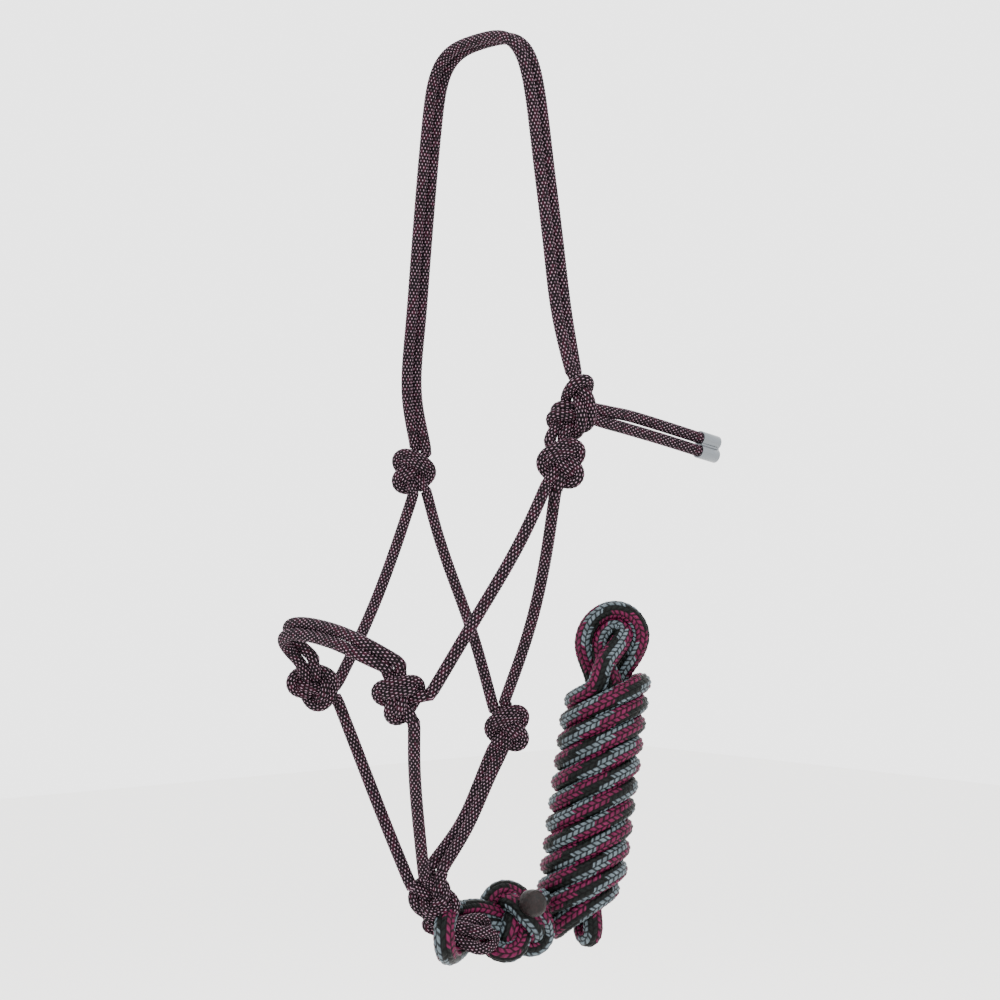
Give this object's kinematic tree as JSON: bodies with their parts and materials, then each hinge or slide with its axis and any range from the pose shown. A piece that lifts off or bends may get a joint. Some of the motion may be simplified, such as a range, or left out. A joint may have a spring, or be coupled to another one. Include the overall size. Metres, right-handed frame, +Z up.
{
  "type": "rope halter",
  "caption": "Knotted rope halter for a horse, with a doubled crown tied in a sheet bend, a doubled noseband, fiador loops, and a thick lead rope wound into a hank.",
  "frame": {"origin": "poll rest: underside of the doubled crown cord at the top of the head, on the head's middle plane", "axes": "+Z up, -X forward to the horse's nose, -Y to the horse's near (left) side, where the crown is tied"},
  "size_m": [0.2934, 0.1996, 0.6505],
  "materials": {
    "halter_cord": "matte braided polyester cord, near-black plum with pale pink flecks",
    "lead_rope": "satin braided rope with magenta, slate grey and black-green strands",
    "ferrule_metal": "bright crimped sleeve",
    "sealed_end": "melted and hardened rope end"
  },
  "bodies": {
    "crown": {"crown_cord_front": "halter_cord", "crown_cord_rear": "halter_cord", "tie_bend": "halter_cord", "tie_loop": "halter_cord"},
    "tail": {"tail_cord_upper": "halter_cord", "tail_cord_lower": "halter_cord", "tail_ferrule": "ferrule_metal"},
    "face": {"cheek_knot_far": "halter_cord", "cheek_knot_near": "halter_cord", "cheek_cord_far": "halter_cord", "cheek_cord_near": "halter_cord", "throat_cord_far": "halter_cord", "throat_cord_near": "halter_cord", "throat_knot": "halter_cord", "throat_drop_cord_front": "halter_cord", "throat_drop_cord_rear": "halter_cord", "nose_knot_far": "halter_cord", "nose_knot_near": "halter_cord", "chin_cord_far": "halter_cord", "chin_cord_near": "halter_cord", "fiador_knot": "halter_cord", "fiador_loop_front": "halter_cord", "fiador_loop_rear": "halter_cord"},
    "noseband": {"noseband_cord_upper": "halter_cord", "noseband_cord_lower": "halter_cord"},
    "lead": {"lead_eye": "lead_rope", "lead_knot": "lead_rope", "lead_end_cap": "sealed_end"},
    "hank": {"lead_stretch": "lead_rope", "lead_hank": "lead_rope", "lead_hank_eye": "lead_rope", "lead_hank_tail": "lead_rope"}
  },
  "joints": [
    {"name": "face_swing", "type": "hinge", "parent": "crown", "child": "face", "pos_m": [0.0006, 0, -0.294], "axis": [0, 1, 0], "range_deg": [-20, 20]},
    {"name": "tail_swing", "type": "hinge", "parent": "crown", "child": "tail", "pos_m": [0.012, -0.084, -0.262], "axis": [0, 1, 0], "range_deg": [-35, 48]},
    {"name": "noseband_swing", "type": "hinge", "parent": "face", "child": "noseband", "pos_m": [-0.106, 0, -0.4445], "axis": [0, 1, 0], "range_deg": [-40, 30]},
    {"name": "lead_swing", "type": "hinge", "parent": "face", "child": "lead", "pos_m": [-0.024, 0, -0.612], "axis": [0, 1, 0], "range_deg": [-4, 80], "deforming": ["fiador_loop_front", "fiador_loop_rear", "lead_eye"]},
    {"name": "hank_swing", "type": "hinge", "parent": "lead", "child": "hank", "pos_m": [0.037, 0, -0.616], "axis": [0, 1, 0], "range_deg": [-4, 90]}
  ]
}
